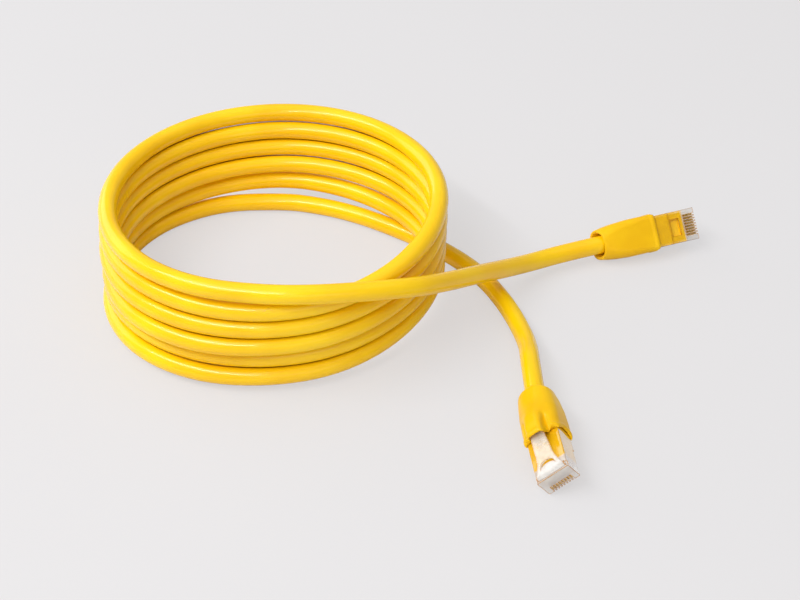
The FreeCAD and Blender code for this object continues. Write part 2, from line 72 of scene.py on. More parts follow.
TURN_BOW = [                     # how far each quarter, from front round to front, bows out past its ellipse
    (0.0, 0.0, 0.0, 0.0),
    (0.5, -0.8, -0.6, 0.0),
    (1.8, -0.8, -0.6, 0.0),
    (3.6, -0.6, -1.2, 0.0),
    (1.9, 0.0, -3.3, 0.0),
    (3.3, 3.1),
]
LAST_LEAN = 2.0                  # the last quarter bows out late, close to where the free end begins
UPPER_START = 19.0               # the upper end runs on this far to the right of the top turn's front
UPPER_ROUTE = [
    (1.25, -24.9, 34.3),
    (13.25, -11.3, 26.6),
    (24.75, 3.1, 19.2),
    (35.75, 16.4, 12.0),
    (45.25, 26.6, 7.2),
]
LOWER_ROUTE = [                  # on the floor
    (-36.0, 69.0),
    (-24.0, 65.0),
    (-9.5, 57.1),
    (9.0, 43.6),
    (25.25, 26.6),
    (35.0, 7.1),
    (41.0, -13.9),
]
BOOT_ENTRIES = {                 # where the cord heads for its boot: behind the rear rim, and to the right
    "upper": (14.0, 0.0),
    "lower": (15.5, 1.2),
}

# The plugs
PLUG_WIDTH = 11.68
NOSE_HEIGHT = 6.6
COLLAR_RAISE = 0.55
PLUG_PLACES = {                  # nose face's middle, heading, pitch and roll in degrees
    "upper": (Vector((105.35, 48.6, 8.5)), 17.0, 3.0, 230.0),
    "lower": (Vector((45.75, -84.8, 6.7)), -82.7, -3.5, 40.0),
}

# The boot's skin, in the plug's own millimetres: back from the nose, sideways, and up to the latch side
BOOT_FRONT = 16.1
BOOT_REAR = 37.0
BOOT_SECTIONS = [                # back, half width, reach on the latch and far sides, their corner radii
    (15.6, 6.6, 5.9, 4.9, 3.6, 1.8),
    (21.0, 6.75, 6.0, 5.0, 4.2, 2.1),
    (26.5, 6.75, 5.9, 5.0, 4.6, 2.6),
    (31.5, 6.4, 5.4, 4.9, 4.8, 3.4),
    (34.5, 5.9, 4.95, 4.7, 4.6, 4.0),
    (36.5, 5.3, 4.5, 4.4, 4.3, 4.2),
    (38.5, 4.75, 4.05, 4.1, 3.95, 4.0),
]
HOOD_SECTIONS = [                # back, half width, height, corner radius
    (14.0, 3.2, 8.78, 1.7),
    (18.5, 3.25, 8.75, 1.8),
    (22.5, 4.0, 8.25, 3.2),
    (26.0, 4.5, 7.33, 4.0),
    (31.0, 4.4, 5.3, 3.6),
    (38.5, 4.0, 2.6, 1.2),
]
HOOD_FOOT = 0.5                  # corner radius at the hood's foot, inside the body
HOOD_BLEND = 0.35                # the fillet from hood to body at the front, and its growth for each mm back
HOOD_BLEND_GROWTH = 0.15
GROOVE_SIDE = 3.65               # the furrow beside the hood: its place, half width, depth and length
GROOVE_WIDTH = 0.5
GROOVE_DEPTH = 1.7
GROOVE_LENGTH = 6.3
GROOVE_FADE = 0.7                # below 1, it stays deep for longer
GROOVE_LOW = 2.0                 # none of it below this height
LIP_RAISE = 0.25                 # the rolled lip round the front
LIP_WIDTH = 0.55
HOOD_LIP = 1.9                   # the hood's rim stands forward of the boot's front by this
HOOD_LIP_LOW = 4.6               # from this height up, over the next millimetres,
HOOD_LIP_RISE = 3.0
HOOD_LIP_SIDE = 4.3              # and inward of this, over the next
HOOD_LIP_FADE = 0.9
SHOULDER_BITE = 0.5              # the rim beside it falls back by this
SHOULDER_LOW = 3.0               # from this height up
SHOULDER_RISE = 1.5
SHOULDER_SIDE = 3.6              # and outward of this
SHOULDER_FADE = 1.0
SIDE_BITE = 1.8                  # and the rim along the sides by this
SIDE_MIDDLE = -0.4               # most at this height, and none this far above or below
SIDE_HALF = 3.8
SIDE_START = 5.0                 # and only outward of this
SIDE_FADE = 1.2
REAR_RIMS = {                    # the rear rim: place, run back for each millimetre up, and sideways bow
    "upper": (37.1, 0.27, 0.0),
    "lower": (36.4, 0.0, 0.05),
}
RIM_ROUND = 0.45
RIM_STEPS = 5
POCKET_GAP = 0.08                # between the boot and the plug inside it
POCKET_CORNER = 0.3
POCKET_DEPTH = 5.5
POCKET_RING = 0.4                # share of the depth at which the pocket has a ring of its own
TUNNEL_HALF = 2.6                # the room for the latch's tail
TUNNEL_TOP = 8.0
TUNNEL_CORNER = 1.2
BORE_RADIUS = 3.3
BORE_START = 8.5                 # behind the boot's front
MOUTH_HALF = (4.35, 3.6)
MOUTH_FLAT = 0.05                # the mouth's corners are this much short of round
MOUTH_DEPTH = 5.0
MOUTH_STEPS = 6
AROUND = 144                     # points round a ring, and rings along the outside
ALONG = 56
EDGE_ROUNDS = 3                  # rounds in which a ring finds the slanted rims
LEAST_OUT = 0.5                  # the surface is looked for between these distances, in this many halvings
MOST_OUT = 14.0
HALVINGS = 17

# The latch's arm, from its knuckle
KNUCKLE_BACK = 1.3
KNUCKLE_Z = 3.65
KNUCKLE_RADIUS = 0.8
KNUCKLE_SIDES = 28
KNUCKLE_PROUD = 0.02             # the knuckle stands this much above the arm
LATCH_ANGLE = 10.0
LATCH_THICKNESS = 0.9
LATCH_EDGE = 0.16
LATCH_LENGTH = 17.6
LATCH_ROOT = 5.2                 # half widths
LATCH_WAIST = 2.85
LATCH_TAIL = 2.4
LATCH_FLARE = 8.0                # how far along the arm the root's flare reaches
FLARE_POWER = 2.2
LATCH_NECK = 6.0                 # from the waist to where the arm is as narrow as its tail
TAIL_CORNER = 0.6
SLOT_HALF = 2.8                  # the curved slot: half its width, and how far along its ends and arcs are
SLOT_ENDS = 1.7
SLOT_NEAR = 2.9
SLOT_FAR = 4.1
OUTLINE_STEPS = 12
CREASE_ANGLE = 35                # edges sharper than this stay sharp
WELD = 0.002                     # points of the outline closer than this are one point

# The other pieces' rounded edges
EDGE_ANGLE = 40                  # edges sharper than this are rounded
HOUSING_ROUND = 0.1
MOULDING_ROUND = 0.2
BAR_ROUND = 0.08

# Colours
JACKET_DARK = (0.93, 0.54, 0.003)
JACKET_LIGHT = (0.98, 0.64, 0.004)
# painted shade for the creases where turns of the cord touch
SEAM_SHADE_BROWN = (0.15, 0.028, 0.002)
BOOT_DARK = (0.83, 0.46, 0.003)
BOOT_LIGHT = (0.9, 0.55, 0.004)
NOSE_WHITE = (0.98, 0.975, 0.96)
# painted refraction: the clear housing's rear is painted yellow for the yellow moulding seen through its
# walls
HOUSING_REFRACTION_YELLOW = (0.93, 0.53, 0.005)
LATCH_WHITE = (0.98, 0.97, 0.9)
CLEAR = (0.985, 0.985, 0.98)
# painted refraction: amber for the lines along the clear plastic's edges, where real clear edges bend the
# light
PAINTED_EDGE_AMBER = (0.5, 0.21, 0.012)
GOLD_DARK = (0.62, 0.36, 0.08)
GOLD_LIGHT = (0.85, 0.6, 0.2)
BAR_DARK = (0.72, 0.72, 0.7)
BAR_LIGHT = (0.84, 0.84, 0.82)
SEPARATOR_DARK = (0.7, 0.7, 0.68)
SEPARATOR_LIGHT = (0.82, 0.82, 0.8)
WIRE_COLOURS = {                 # the darker and the lighter tone of each pair
    "blue": ((0.01, 0.04, 0.3), (0.02, 0.07, 0.42)),
    "orange": ((0.7, 0.13, 0.01), (0.85, 0.2, 0.02)),
    "green": ((0.01, 0.16, 0.02), (0.02, 0.25, 0.04)),
    "brown": ((0.07, 0.025, 0.01), (0.12, 0.045, 0.02)),
}

# Painted seam shade, milk and painted edge refraction in the materials; the reaches are in metres
SEAM_SHADE_REACH = 0.0012
SEAM_SHADE_OPENING = (0.06, 0.34)      # how open to its surroundings a spot is, from full painted seam shade to none
NOSE_MILK = (4.3, 5.3)           # the clear plastic grows milky between these millimetres behind the nose, and takes on its body colour there, on the housing a painted refraction yellow
EDGE_REACH = 0.0006
EDGE_TURN = (0.01, 0.12)         # how far the rounded face turns from the flat one, from no edge to full edge
EDGE_SHARE = 0.95

# The photograph's camera
CAMERA_PLACE = Vector((-2.3, -436.15, 344.4))
CAMERA_PITCH = 37.45
CAMERA_LENS = 72.0
CAMERA_SENSOR = 36.0
CAMERA_CLIP = (0.01, 20.0)       # in metres

# Floor and light, in metres and watts
FLOOR_HALF = 3.0
FLOOR_DARK = (0.67, 0.66, 0.668)
FLOOR_LIGHT = (0.69, 0.68, 0.688)
FLOOR_GLOW = (0.8, 0.787, 0.794)
FLOOR_EVEN = 0.7                 # how much of the seen floor is an even glow
ROOM_COLOUR = (0.79, 0.783, 0.79)
ROOM_LIGHT = 0.5                 # the room's strength as a light, and what is added where it is seen
ROOM_SEEN = 0.5
LAMPS = [                        # name, place, size and power; each points at the coil
    ("left_strip", (-0.55, -0.4, 0.9), (1.3, 0.065), 7.0),
    ("left_box", (-0.62, -0.3, 1.0), (1.2, 0.7), 5.5),
    ("back_box", (-1.06, 0.76, 0.55), (1.2, 0.8), 4.5),
    ("top_lamp", (0.2, 0.3, 2.4), (3.0, 2.6), 10.0),
    ("front_lamp", (0.5, -2.2, 1.0), (2.0, 1.2), 6.0),
]


def new_object(name, data):
    obj = bpy.data.objects.new(name, data)
    bpy.context.scene.collection.objects.link(obj)
    return obj


def smooth(mesh):
    mesh.polygons.foreach_set("use_smooth", [True] * len(mesh.polygons))


def axes(end):
    # the plug's forward, sideways and latch-side directions
    h, p, r = (math.radians(angle) for angle in PLUG_PLACES[end][1:])
    forward = Vector((math.cos(p) * math.cos(h), math.cos(p) * math.sin(h), math.sin(p)))
    level = Vector((0, 0, 1)).cross(forward).normalized()
    upright = forward.cross(level)
    side = level * math.cos(r) + upright * math.sin(r)
    return forward, side, forward.cross(side)


def at_plug(end, back):
    return PLUG_PLACES[end][0] - axes(end)[0] * back


def add_camera():
    data = bpy.data.cameras.new("camera")
    data.lens = CAMERA_LENS
    data.sensor_width = CAMERA_SENSOR
    data.clip_start, data.clip_end = CAMERA_CLIP
    camera = new_object("camera", data)
    camera.location = CAMERA_PLACE * MM
    camera.rotation_euler = (math.radians(90 - CAMERA_PITCH), 0, 0)
    bpy.context.scene.camera = camera


# The cord: one spline from the upper boot, down through the turns, to the lower boot

def coil_points():
    # from the top turn's front down to the lowest turn's back
    directions = (Vector((0, -1, 0)), Vector((-1, 0, 0)), Vector((0, 1, 0)), Vector((1, 0, 0)))
    levels = len(TURN_REACH) - 1
    corners = []
    for turn, (reaches, rises) in enumerate(zip(TURN_REACH, TURN_RISE)):
        for direction, out, rise in zip(directions, reaches, rises):
            corners.append((direction * out, REST_LEVEL + TURN_PITCH * (levels - turn + rise)))
    steps = POINTS_PER_TURN // 4
    # control points stand outside the curve that they make
    swell = 1 / (0.75 + 0.25 * math.cos(2 * math.pi / POINTS_PER_TURN))
    bows = [bow for turn in TURN_BOW for bow in turn]
    leans = [1.0] * (len(bows) - 1) + [LAST_LEAN]
    points = []
    for (a, low), (b, high), bow, lean in zip(corners, corners[1:], bows, leans):
        for k in range(steps):
            t = k / steps
            angle = t * math.pi / 2
            ease = t * t * (3 - 2 * t)
            flat = a * math.cos(angle) + b * math.sin(angle)
            flat = flat * swell + flat.normalized() * (bow * math.sin(math.pi * t ** lean))
            points.append(COIL_AXIS + flat + Vector((0, 0, low + (high - low) * ease)))
    a, low = corners[-1]
    points.append(COIL_AXIS + a * swell + Vector((0, 0, low)))
    return points


def boot_entry(end):
    lead, right = BOOT_ENTRIES[end]
    return [at_plug(end, BOOT_REAR + lead) + Vector((right, 0, 0)), at_plug(end, BOOT_REAR)]


def upper_tail(start):
    route = [Vector(place) for place in UPPER_ROUTE]
    return [start + Vector((UPPER_START, 0, 0))] + route + boot_entry("upper")


def lower_tail():
    return [Vector((x, y, REST_LEVEL)) for x, y in LOWER_ROUTE] + boot_entry("lower")


def curve_of(points, name):
    data = bpy.data.curves.new(name, "CURVE")
    data.dimensions = "3D"
    spline = data.splines.new("NURBS")
    spline.points.add(len(points) - 1)
    for target, p in zip(spline.points, points):
        target.co = (p.x * MM, p.y * MM, p.z * MM, 1)
    spline.order_u = 3
    spline.use_endpoint_u = True
    spline.resolution_u = SPAN_STEPS
    spline.use_smooth = True
    data.bevel_depth = CORD_RADIUS * MM
    data.bevel_resolution = CORD_ROUNDNESS
    data.use_fill_caps = True
    return new_object(name, data)


def spline_length(obj):
    data = obj.data.copy()
    data.bevel_depth = 0
    probe = bpy.data.objects.new("probe", data)
    mesh = bpy.data.meshes.new_from_object(probe)
    line = [v.co.copy() for v in mesh.vertices]
    bpy.data.objects.remove(probe)
    bpy.data.meshes.remove(mesh)
    return sum((b - a).length for a, b in zip(line, line[1:]))


def add_cord(material):
    coil = coil_points()
    points = list(reversed(upper_tail(coil[0]))) + coil + lower_tail()
    cord = curve_of(points, "cord")
    cord.data.materials.append(material)
    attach(cord, "cable")
    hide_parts("cable_coil", "cable_tail_upper", "cable_tail_lower")
    length = spline_length(cord)
    print("cord length", round(length, 4))
    kinds = ["inner_moulding", "plug_housing", "contact_blades", "load_bar", "pair_separator", "jacket_end"]
    kinds += ["wire_pair_" + colour for colour in WIRE_COLOURS]


# Materials

def new_material(name):
    material = bpy.data.materials.new(name)
    material.use_nodes = True
    tree = material.node_tree
    return material, tree, tree.nodes["Principled BSDF"]


def surface_of(tree):
    out = next(n for n in tree.nodes if n.type == "OUTPUT_MATERIAL")
    return out.inputs["Surface"]


def linked_math(tree, operation, first, second, third=0.0):
    # one step of arithmetic, on numbers or on other nodes' outputs
    node = tree.nodes.new("ShaderNodeMath")
    node.operation = operation
    for place, value in zip(node.inputs, (first, second, third)):
        if isinstance(value, float):
            place.default_value = value
        else:
            tree.links.new(value, place)
    return node.outputs["Value"]


def ramp_value(tree, value, low, high):
    # 0 up to low, 1 from high on, and eased between
    node = tree.nodes.new("ShaderNodeMapRange")
    node.interpolation_type = "SMOOTHSTEP"
    node.inputs["From Min"].default_value = low
    node.inputs["From Max"].default_value = high
    tree.links.new(value, node.inputs["Value"])
    return node.outputs["Result"]


def ramp(tree, factor, stops):
    # two colours and the places where they are reached
    node = tree.nodes.new("ShaderNodeValToRGB")
    for element, (place, colour) in zip(node.color_ramp.elements, stops):
        element.position = place
        element.color = (*colour, 1)
    tree.links.new(factor, node.inputs["Fac"])
    return node.outputs["Color"]


def mixed(tree, share, first, second):
    mix = tree.nodes.new("ShaderNodeMixShader")
    tree.links.new(share, mix.inputs["Fac"])
    tree.links.new(first.outputs[0], mix.inputs[1])
    tree.links.new(second.outputs[0], mix.inputs[2])
    return mix


def noise(tree, scale, detail=3.0, roughness=0.5):
    where = tree.nodes.new("ShaderNodeTexCoord")
    texture = tree.nodes.new("ShaderNodeTexNoise")
    texture.inputs["Scale"].default_value = scale
    texture.inputs["Detail"].default_value = detail
    texture.inputs["Roughness"].default_value = roughness
    tree.links.new(where.outputs["Object"], texture.inputs["Vector"])
    return texture.outputs["Fac"]


def bump(tree, shader, height, strength, distance):
    node = tree.nodes.new("ShaderNodeBump")
    node.inputs["Strength"].default_value = strength
    node.inputs["Distance"].default_value = distance
    tree.links.new(height, node.inputs["Height"])
    tree.links.new(node.outputs["Normal"], shader.inputs["Normal"])


def roughen(tree, shader, factor, low, high):
    node = tree.nodes.new("ShaderNodeMapRange")
    node.inputs["To Min"].default_value = low
    node.inputs["To Max"].default_value = high
    tree.links.new(factor, node.inputs["Value"])
    tree.links.new(node.outputs["Result"], shader.inputs["Roughness"])


def set_gloss(shader, specular, coat, coat_roughness):
    shader.inputs["Specular IOR Level"].default_value = specular
    shader.inputs["Coat Weight"].default_value = coat
    shader.inputs["Coat Roughness"].default_value = coat_roughness


def painted_seam_shade(tree, colour):
    # painted shade: the colour turns dark brown where two turns of the cord press together
    crease = tree.nodes.new("ShaderNodeAmbientOcclusion")
    crease.inputs["Distance"].default_value = SEAM_SHADE_REACH
    crease.only_local = True
    crease.samples = 8
    mix = tree.nodes.new("ShaderNodeMix")
    mix.data_type = "RGBA"
    tree.links.new(ramp_value(tree, crease.outputs["AO"], *SEAM_SHADE_OPENING), mix.inputs["Factor"])
    mix.inputs["A"].default_value = (*SEAM_SHADE_BROWN, 1)
    tree.links.new(colour, mix.inputs["B"])
    return mix.outputs["Result"]


def moulded(name, dark, light, low, high, gloss=0.5, coat=0.0):
    # soft moulded plastic: mottled colour, roughness from low to high, and a fine skin
    material, tree, shader = new_material(name)
    colour = ramp(tree, noise(tree, scale=60.0), [(0.35, dark), (0.65, light)])
    tree.links.new(colour, shader.inputs["Base Color"])
    roughen(tree, shader, noise(tree, scale=160.0, detail=4.0), low, high)
    bump(tree, shader, noise(tree, scale=900.0, detail=2.0), strength=0.25, distance=0.00002)
    set_gloss(shader, gloss, coat, coat_roughness=0.12)
    return material


def jacket_skin():
    # the cord's glossy jacket: slightly rippled, with painted shade in dark lines where turns touch
    material, tree, shader = new_material("jacket_pvc")
    colour = ramp(tree, noise(tree, scale=45.0), [(0.3, JACKET_DARK), (0.7, JACKET_LIGHT)])
    tree.links.new(painted_seam_shade(tree, colour), shader.inputs["Base Color"])
    roughen(tree, shader, noise(tree, scale=180.0, detail=4.0), 0.16, 0.3)
    bump(tree, shader, noise(tree, scale=260.0, roughness=0.55), strength=0.5, distance=0.00012)
    set_gloss(shader, 0.25, 0.3, coat_roughness=0.1)
    return material


def gold():
    material, tree, shader = new_material("gold_plate")
    colour = ramp(tree, noise(tree, scale=400.0), [(0.3, GOLD_DARK), (0.7, GOLD_LIGHT)])
    tree.links.new(colour, shader.inputs["Base Color"])
    roughen(tree, shader, noise(tree, scale=700.0), 0.15, 0.35)
    shader.inputs["Metallic"].default_value = 1.0
    return material


def behind_nose(tree, end):
    # how far back from the nose face, in millimetres
    where = tree.nodes.new("ShaderNodeTexCoord")
    along = tree.nodes.new("ShaderNodeVectorMath")
    along.operation = "DOT_PRODUCT"
    forward = axes(end)[0]
    along.inputs[1].default_value = -forward / MM
    tree.links.new(where.outputs["Object"], along.inputs[0])
    return linked_math(tree, "ADD", along.outputs["Value"], forward.dot(PLUG_PLACES[end][0]))


def near_edges(tree):
    # 1 along the sharp edges of a shape, and 0 away from them
    round_off = tree.nodes.new("ShaderNodeBevel")
    round_off.samples = 6
    round_off.inputs["Radius"].default_value = EDGE_REACH
    flat = tree.nodes.new("ShaderNodeNewGeometry")
    turn = tree.nodes.new("ShaderNodeVectorMath")
    turn.operation = "DOT_PRODUCT"
    tree.links.new(round_off.outputs["Normal"], turn.inputs[0])
    tree.links.new(flat.outputs["Normal"], turn.inputs[1])
    return ramp_value(tree, linked_math(tree, "SUBTRACT", 1.0, turn.outputs["Value"]), *EDGE_TURN)


def clear_plastic(name, end, nose_milk, body_milk, body_colour, patchy):
    # clear moulded plastic: light goes straight through, cloudier at the nose, with painted refraction in
    # amber lines along its edges and, on the housing, in the yellow of its rear
    material, tree, shader = new_material(name + "_" + end)
    # white at the nose, then body_colour behind it; on the housing that is the painted refraction yellow
    back = ramp_value(tree, behind_nose(tree, end), *NOSE_MILK)
    colour = ramp(tree, back, [(0.0, NOSE_WHITE), (1.0, body_colour)])
    tree.links.new(colour, shader.inputs["Base Color"])
    roughen(tree, shader, noise(tree, scale=300.0), 0.08, 0.16)
    shader.inputs["Specular IOR Level"].default_value = 0.2
    # milky plastic that lets some light through, and more of it at the nose
    glow = tree.nodes.new("ShaderNodeBsdfTranslucent")
    tree.links.new(colour, glow.inputs["Color"])
    milk = mixed(tree, linked_math(tree, "MULTIPLY_ADD", back, -0.5, 0.5), shader, glow)
    # clear plastic in uneven patches between
    through = tree.nodes.new("ShaderNodeBsdfTransparent")
    through.inputs["Color"].default_value = (*CLEAR, 1)
    cloud = linked_math(tree, "MULTIPLY_ADD", back, body_milk - nose_milk, nose_milk)
    uneven = linked_math(tree, "MULTIPLY_ADD", noise(tree, scale=260.0), patchy, 1.0 - patchy / 2)
    body = mixed(tree, linked_math(tree, "MULTIPLY", cloud, uneven), through, milk)
    # a shine that grows where the surface turns away
    gloss = tree.nodes.new("ShaderNodeBsdfGlossy")
    gloss.inputs["Color"].default_value = (1, 1, 1, 1)
    gloss.inputs["Roughness"].default_value = 0.06
    facing = tree.nodes.new("ShaderNodeLayerWeight")
    share = linked_math(tree, "POWER", facing.outputs["Facing"], 2.5)
    shiny = mixed(tree, linked_math(tree, "MULTIPLY_ADD", share, 1.3, 0.015), body, gloss)
    # painted refraction: amber lines along the edges, in place of the light that clear edges bend
    painted_refraction = tree.nodes.new("ShaderNodeBsdfDiffuse")
    painted_refraction.inputs["Color"].default_value = (*PAINTED_EDGE_AMBER, 1)
    edged = mixed(tree, linked_math(tree, "MULTIPLY", near_edges(tree), EDGE_SHARE), shiny, painted_refraction)
    tree.links.new(edged.outputs["Shader"], surface_of(tree))
    return material


# The boots: rings of points along the outside, round the rims and back through the inside

def share_of(value, whole):
    return max(0.0, min(1.0, value / whole))


def table_at(table, x):
    # the row of sizes at x, on a straight line between the rows of the table
    if x <= table[0][0]:
        return table[0][1:]
    for a, b in zip(table, table[1:]):
        if x <= b[0]:
            t = (x - a[0]) / (b[0] - a[0])
            return [u + (v - u) * t for u, v in zip(a[1:], b[1:])]
    return table[-1][1:]


def soft_box(y, z, half, low, high, low_radius, high_radius):
    # distance outside a rectangle whose upper and lower corners have their own radii
    middle = (low + high) / 2
    radius = high_radius if z > middle else low_radius
    dy = abs(y) - half + radius
    dz = (z - high if z > middle else low - z) + radius
    return min(max(dy, dz), 0.0) + math.hypot(max(dy, 0.0), max(dz, 0.0)) - radius


def melt(a, b, blend):
    # the nearer of two distances, with a fillet where they meet
    h = max(blend - abs(a - b), 0.0) / blend
    return min(a, b) - h * h * blend / 4


def front_edge(y, z):
    # the front rim: the hood's lip stands forward, and the shoulders and sides fall back
    out = abs(y)
    hood = share_of(z - HOOD_LIP_LOW, HOOD_LIP_RISE) * share_of(HOOD_LIP_SIDE - out, HOOD_LIP_FADE)
    shoulder = share_of(z - SHOULDER_LOW, SHOULDER_RISE) * share_of(out - SHOULDER_SIDE, SHOULDER_FADE)
    side = max(0.0, 1 - ((z - SIDE_MIDDLE) / SIDE_HALF) ** 2) * share_of(out - SIDE_START, SIDE_FADE)
    return BOOT_FRONT - HOOD_LIP * hood + SHOULDER_BITE * shoulder + SIDE_BITE * side


def rear_edge(end, y, z):
    place, slant, bow = REAR_RIMS[end]
    return place + slant * z - bow * y * y


def boot_skin(x, y, z):
    half, up, down, up_radius, down_radius = table_at(BOOT_SECTIONS, x)
    body = soft_box(y, z, half, -down, up, down_radius, up_radius)
    half, top, radius = table_at(HOOD_SECTIONS, x)
    hood = soft_box(y, z, half, 0.0, top, HOOD_FOOT, radius)
    skin = melt(body, hood, HOOD_BLEND + HOOD_BLEND_GROWTH * max(0.0, x - BOOT_FRONT))
    if z > GROOVE_LOW:
        fade = share_of(BOOT_FRONT + GROOVE_LENGTH - x, GROOVE_LENGTH) ** GROOVE_FADE
        skin += GROOVE_DEPTH * fade * math.exp(-((abs(y) - GROOVE_SIDE) / GROOVE_WIDTH) ** 2)
    return skin - LIP_RAISE * math.exp(-((x - front_edge(y, z) - LIP_WIDTH) / LIP_WIDTH) ** 2)


def plug_pocket(y, z):
    half = NOSE_HEIGHT / 2
    low = -half - COLLAR_RAISE - POCKET_GAP
    body = soft_box(y, z, PLUG_WIDTH / 2 + POCKET_GAP, low, half + POCKET_GAP, POCKET_CORNER, POCKET_CORNER)
    return min(body, soft_box(y, z, TUNNEL_HALF, 0.0, TUNNEL_TOP, POCKET_CORNER, TUNNEL_CORNER))


def rear_mouth(y, z):
    wide, tall = MOUTH_HALF
    return soft_box(y, z, wide, -tall, tall, tall - MOUTH_FLAT, tall - MOUTH_FLAT)


def reach(distance, angle):
    # how far out from the middle line the surface lies, in that direction
    c, s = math.cos(angle), math.sin(angle)
    near, far = LEAST_OUT, MOST_OUT
    for _ in range(HALVINGS):
        middle = (near + far) / 2
        if distance(c * middle, s * middle) < 0:
            near = middle
        else:
            far = middle
    return near


def ring(place):
    # one closed ring: place gives how far back, and how far out, for each direction
    points = []
    for k in range(AROUND):
        angle = 2 * math.pi * k / AROUND
        x, out = place(angle)
        points.append((x, out * math.cos(angle), out * math.sin(angle)))
    return points


def outer_ring(end, share):
    def place(angle):
        c, s = math.cos(angle), math.sin(angle)
        x = BOOT_FRONT + share * (BOOT_REAR - BOOT_FRONT)
        for _ in range(EDGE_ROUNDS):
            out = reach(partial(boot_skin, x), angle)
            first = front_edge(out * c, out * s)
            last = rear_edge(end, out * c, out * s)
            x = first + share * (last - first)
        return x, out
    return ring(place)


def inner_ring(edge, distance):
    # the ring inside an edge, as far back as the edge is in each direction
    points = []
    for x, y, z in edge:
        angle = math.atan2(z, y)
        out = reach(distance, angle)
        points.append((x, out * math.cos(angle), out * math.sin(angle)))
    return points


def bore_ring(x):
    return ring(lambda angle: (x, BORE_RADIUS))


def between(a, b, share, push=0.0):
    # a ring part of the way from a to b, pushed along the plug
    points = []
    for p, q in zip(a, b):
        x, y, z = (u + (v - u) * share for u, v in zip(p, q))
        points.append((x + push, y, z))
    return points


def rolled(a, b, push):
    # the rounded rim from ring a to ring b
    rims = []
    for k in range(1, RIM_STEPS):
        turn = math.pi * k / RIM_STEPS
        rims.append(between(a, b, (1 - math.cos(turn)) / 2, push * math.sin(turn)))
    return rims


def boot_rings(end):
    rings = [outer_ring(end, k / ALONG) for k in range(ALONG + 1)]
    front, rear = rings[0], rings[-1]
    mouth = inner_ring(rear, rear_mouth)
    pocket = inner_ring(front, plug_pocket)
    narrow = bore_ring(BOOT_REAR - MOUTH_DEPTH)
    deep = [(BOOT_FRONT + POCKET_DEPTH, y, z) for _, y, z in pocket]
    rings += rolled(rear, mouth, RIM_ROUND)
    rings.append(mouth)
    rings += [between(mouth, narrow, k / MOUTH_STEPS) for k in range(1, MOUTH_STEPS)]
    rings += [narrow, bore_ring(BOOT_FRONT + BORE_START)]
    rings += [deep, between(pocket, deep, POCKET_RING), pocket]
    rings += rolled(pocket, front, -RIM_ROUND)
    return rings


def boot_mesh(end):
    rings = boot_rings(end)
    nose = PLUG_PLACES[end][0]
    f, s, u = axes(end)
    points = [(nose - f * x + s * y + u * z) * MM for one in rings for x, y, z in one]
    for point in points:
        point.z = max(point.z, 0.0)      # the boot is soft and lies flat on the floor
    faces = []
    for i in range(len(rings)):
        j = (i + 1) % len(rings)
        for k in range(AROUND):
            n = (k + 1) % AROUND
            faces.append((i * AROUND + k, j * AROUND + k, j * AROUND + n, i * AROUND + n))
    mesh = bpy.data.meshes.new("boot_" + end)
    mesh.from_pydata(points, [], faces)
    smooth(mesh)
    return mesh


def add_boot(end, material):
    boot = new_object("boot_skin_" + end, boot_mesh(end))
    boot.data.materials.append(material)
    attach(boot, "cable")
    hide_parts("strain_relief_boot_" + end)
    return boot


# The latches

def latch_outline():
    # half of the arm's edge, from the root to the tail
    points = []
    for k in range(OUTLINE_STEPS + 1):
        t = k / OUTLINE_STEPS
        points.append((LATCH_FLARE * t, LATCH_WAIST + (LATCH_ROOT - LATCH_WAIST) * (1 - t) ** FLARE_POWER))
    points.append((LATCH_FLARE + LATCH_NECK, LATCH_TAIL))
    points.append((LATCH_LENGTH - TAIL_CORNER, LATCH_TAIL))
    points.append((LATCH_LENGTH, LATCH_TAIL - TAIL_CORNER))
    return points


def slot_outline():
    # a crescent that bows towards the tail
    points = []
    there, back = range(OUTLINE_STEPS + 1), range(OUTLINE_STEPS - 1, 0, -1)
    for far, order in ((SLOT_FAR, there), (SLOT_NEAR, back)):
        for k in order:
            y = SLOT_HALF * (2 * k / OUTLINE_STEPS - 1)
            points.append((SLOT_ENDS + (far - SLOT_ENDS) * math.sqrt(1 - (y / SLOT_HALF) ** 2), y))
    return points


def latch_place(end, along, side, height):
    # a point of the arm, turned up to its angle at rest about the knuckle
    turn = math.radians(LATCH_ANGLE)
    f, s, u = axes(end)
    back = KNUCKLE_BACK + along * math.cos(turn) - height * math.sin(turn)
    up = KNUCKLE_Z + along * math.sin(turn) + height * math.cos(turn)
    return (PLUG_PLACES[end][0] - f * back + s * side + u * up) * MM


def latch_arm():
    # the flat arm, with its slot and rounded edges
    half = latch_outline()
    outline = half + [(x, -y) for x, y in reversed(half)]
    data = bpy.data.curves.new("latch_outline", "CURVE")
    data.dimensions = "2D"
    data.fill_mode = "BOTH"
    for path in (outline, slot_outline()):
        spline = data.splines.new("POLY")
        spline.points.add(len(path) - 1)
        for target, (x, y) in zip(spline.points, path):
            target.co = (x, y, 0, 1)
        spline.use_cyclic_u = True
    data.extrude = LATCH_THICKNESS / 2 - LATCH_EDGE
    data.bevel_depth = LATCH_EDGE
    data.bevel_resolution = 2
    data.offset = -LATCH_EDGE
    probe = bpy.data.objects.new("latch_probe", data)
    mesh = bpy.data.meshes.new_from_object(probe)
    bpy.data.objects.remove(probe)
    work = bmesh.new()
    work.from_mesh(mesh)
    bmesh.ops.remove_doubles(work, verts=work.verts, dist=WELD)
    lift = KNUCKLE_RADIUS - LATCH_THICKNESS / 2 - KNUCKLE_PROUD
    bmesh.ops.translate(work, verts=work.verts, vec=(0, 0, lift))
    bmesh.ops.recalc_face_normals(work, faces=work.faces)
    work.to_mesh(mesh)
    work.free()
    return mesh


